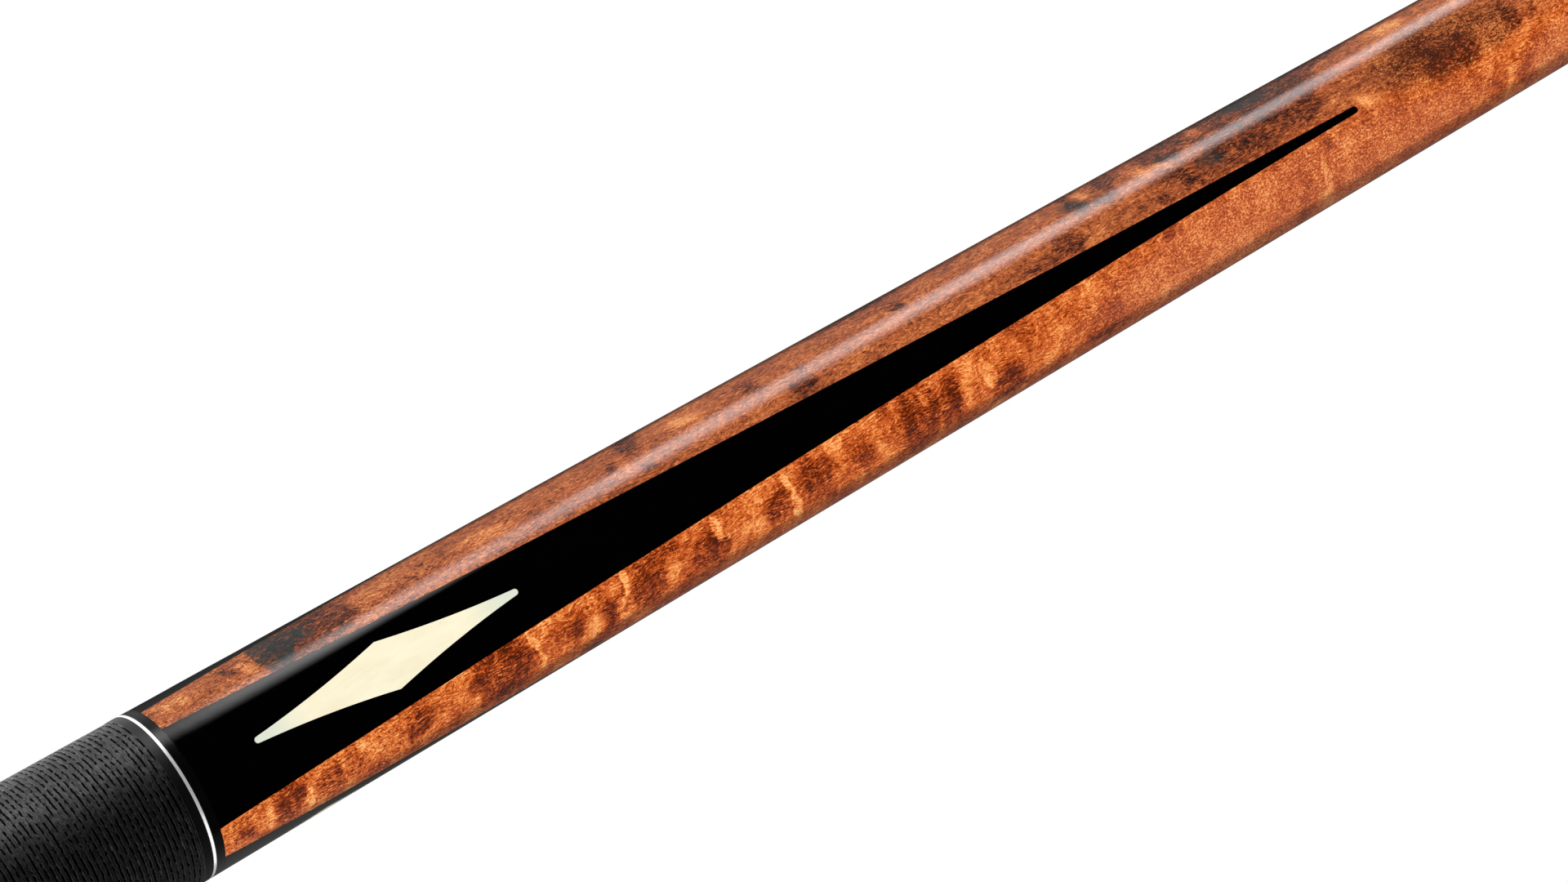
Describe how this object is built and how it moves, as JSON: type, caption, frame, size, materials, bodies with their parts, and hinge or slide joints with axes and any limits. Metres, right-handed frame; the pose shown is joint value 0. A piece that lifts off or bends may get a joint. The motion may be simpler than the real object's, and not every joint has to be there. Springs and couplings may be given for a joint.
{
  "type": "pool cue",
  "caption": "Two-piece wooden cue with a linen-wrapped grip, inlaid forearm and butt sleeve, a screw joint with a threaded pin, a ferrule with a leather tip, and a rubber bumper.",
  "frame": {"origin": "centre of the bumper's resting face, on the cue's axis", "axes": "+Z along the cue from the bumper to the tip; -Y is the front, where one long point of the forearm lies; +X is to the right seen from the front"},
  "size_m": [0.0318, 0.0318, 1.4732],
  "materials": {
    "stained_maple": "figured maple stained orange-brown under a deep gloss clear coat",
    "black_inlay": "jet-black inlay under the same gloss clear coat",
    "cream_inlay": "cream imitation ivory under the gloss clear coat",
    "nickel_silver": "polished nickel silver",
    "black_collar": "polished black phenolic",
    "black_linen": "pressed black linen thread, wound edge to edge",
    "plain_maple": "bare turned maple, hidden",
    "steel": "bright machined steel",
    "rubber": "matte black rubber",
    "brass": "machined brass",
    "pale_maple": "straight-grained pale maple, satin sealed",
    "ferrule_white": "off-white resin, satin",
    "red_fibre": "pressed red fibre",
    "tip_leather": "pressed leather, chalk-marked crown"
  },
  "bodies": {
    "butt": {"forearm": "stained_maple", "long_point_front": "black_inlay", "long_point_back": "black_inlay", "short_point_left": "black_inlay", "short_point_right": "black_inlay", "long_diamond_front": "cream_inlay", "long_diamond_back": "cream_inlay", "short_diamond_left": "cream_inlay", "short_diamond_right": "cream_inlay", "forearm_collar": "black_collar", "forearm_ring": "nickel_silver", "wrap_trim_upper": "black_collar", "linen_wrap": "black_linen", "wrap_trim_lower": "black_collar", "sleeve_ring_upper": "nickel_silver", "sleeve_collar_upper": "black_collar", "butt_sleeve": "stained_maple", "sleeve_point_front": "black_inlay", "sleeve_point_right": "black_inlay", "sleeve_point_back": "black_inlay", "sleeve_point_left": "black_inlay", "sleeve_diamond_front": "cream_inlay", "sleeve_diamond_right": "cream_inlay", "sleeve_diamond_back": "cream_inlay", "sleeve_diamond_left": "cream_inlay", "sleeve_collar_lower": "black_collar", "sleeve_ring_lower": "nickel_silver", "butt_cap": "black_collar", "handle_core": "plain_maple", "waist_stud": "steel", "weight_bolt": "steel", "joint_ring": "nickel_silver", "joint_collar": "black_collar", "joint_pin": "steel"},
    "shaft_carrier": {"shaft_ring": "nickel_silver"},
    "shaft": {"shaft_insert": "brass", "shaft_collar": "black_collar", "shaft_wood": "pale_maple", "ferrule": "ferrule_white", "tip_pad": "red_fibre", "tip": "tip_leather"},
    "bumper": {"bumper": "rubber"}
  },
  "joints": [
    {"name": "shaft_advance", "type": "slide", "parent": "butt", "child": "shaft_carrier", "axis": [0, 0, 1], "range_m": [0, 0.03048]},
    {"name": "shaft_turn", "type": "hinge", "parent": "shaft_carrier", "child": "shaft", "pos_m": [0, 0, 0.7366], "axis": [0, 0, 1], "range_deg": [0, 4320]},
    {"name": "bumper_pull", "type": "slide", "parent": "butt", "child": "bumper", "axis": [0, 0, -1], "range_m": [0, 0.03]}
  ],
  "couplings": [
    {"joint": "shaft_turn", "follows": "shaft_advance", "rad_per_m": 2473.7}
  ]
}
